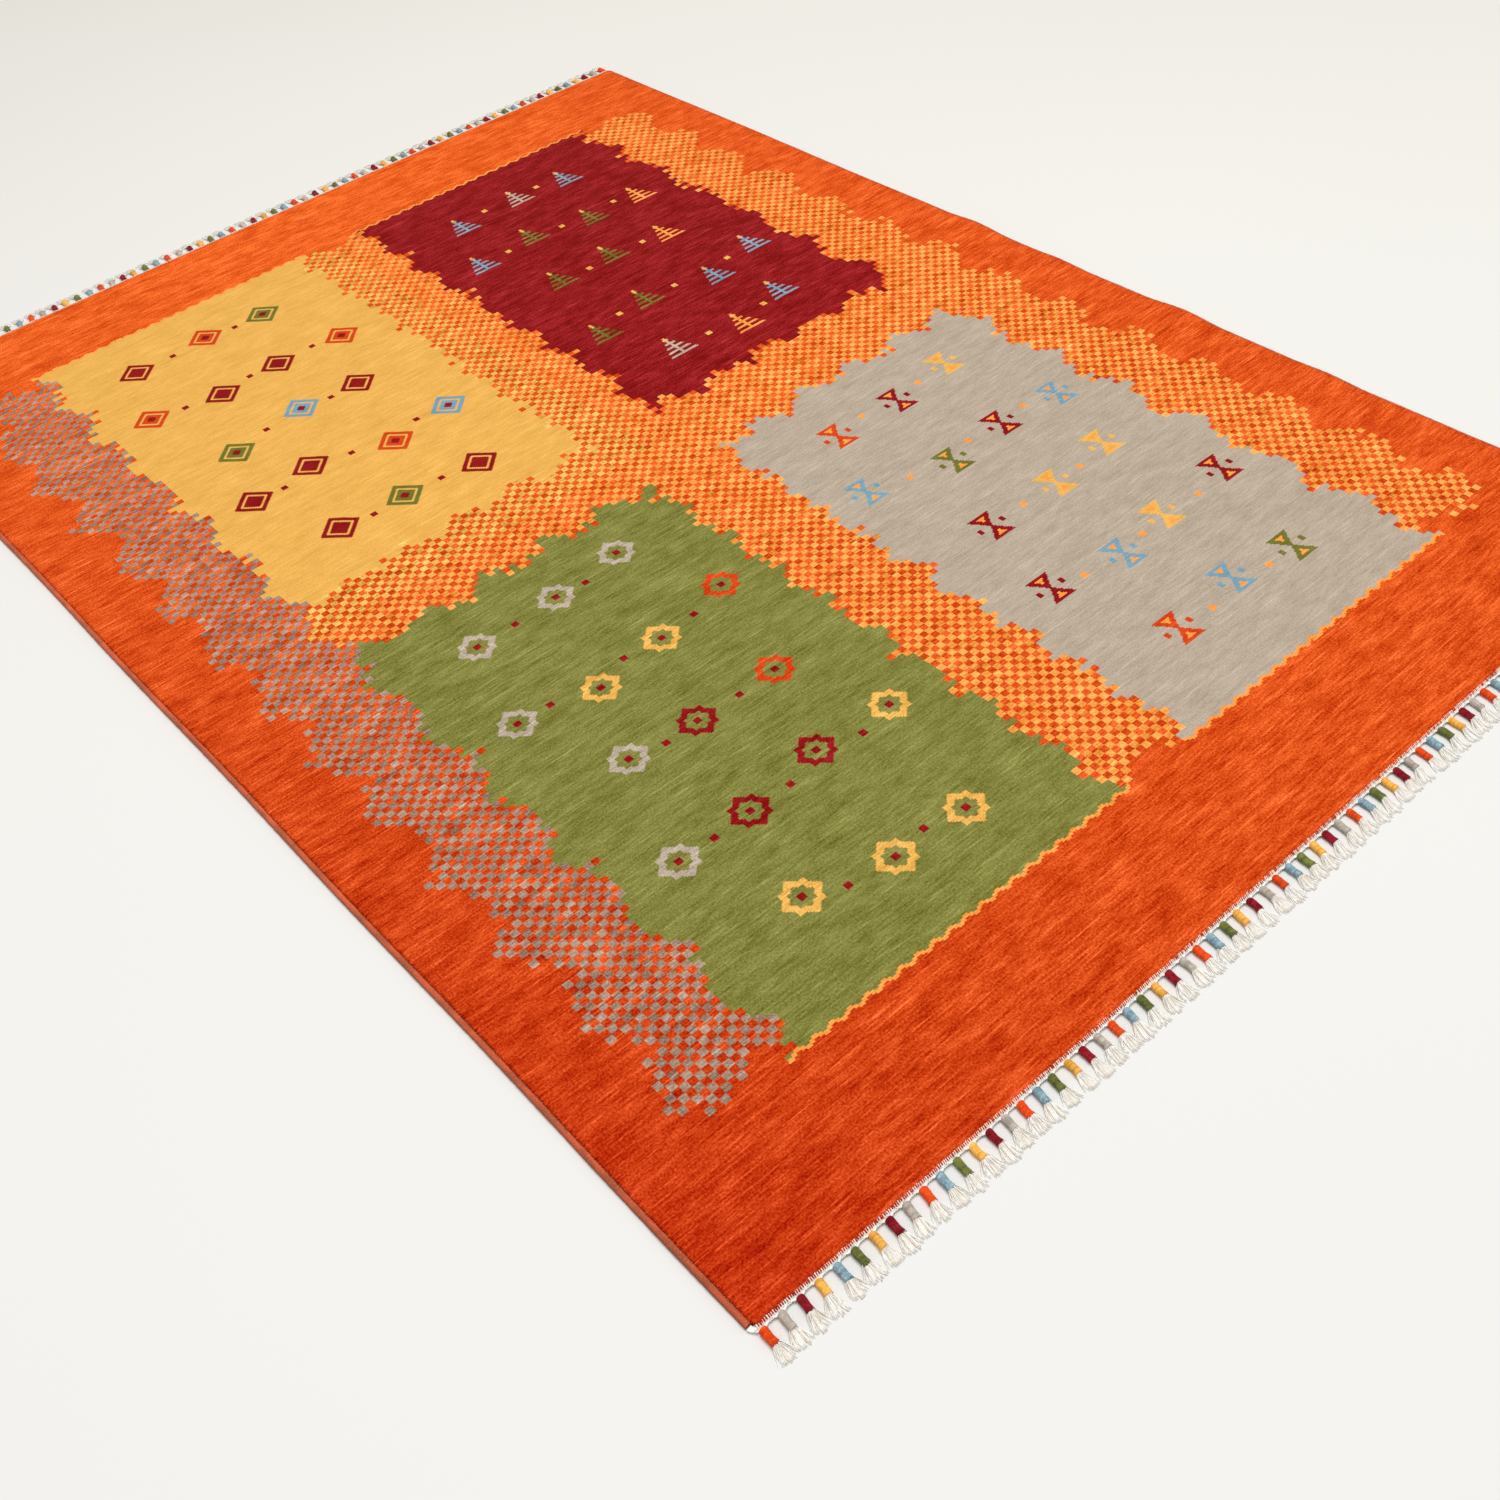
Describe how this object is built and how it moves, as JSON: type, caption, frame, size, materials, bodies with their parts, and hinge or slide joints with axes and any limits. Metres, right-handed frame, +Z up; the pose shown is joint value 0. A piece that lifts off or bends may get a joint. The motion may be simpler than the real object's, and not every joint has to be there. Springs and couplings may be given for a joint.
{
  "type": "wool rug",
  "caption": "Hand-knotted wool pile rug lying flat, with wrapped side cords, white twined cotton ends and short wool-wrapped tassels along both short ends.",
  "frame": {"origin": "middle of the rug's footprint, on the floor it lies on", "axes": "+Y along the long side towards the far tasselled end, +X across the short side towards the right-hand cord, +Z up from the floor"},
  "size_m": [1.7015, 2.5024, 0.0151],
  "materials": {
    "wool_pile": "dense clipped wool pile, orange ground with fields of green, warm grey, gold and dark red, streaked across the width",
    "wool_cord": "terracotta wool overcast in close turns",
    "cotton": "undyed cotton warps, twined, plain and loose",
    "tassel_orange": "orange wool yarn wound in close turns",
    "tassel_blue": "soft blue wool yarn wound in open turns",
    "tassel_green": "olive green wool yarn wound in close turns",
    "tassel_gold": "gold wool yarn wound in close turns",
    "tassel_red": "dark red wool yarn wound in close turns",
    "tassel_grey": "warm grey wool yarn wound in close turns"
  },
  "bodies": {
    "root": {"pile_field": "wool_pile", "cord_left": "wool_cord", "cord_right": "wool_cord", "fringe_near": "cotton", "fringe_far": "cotton"}
  },
  "joints": []
}
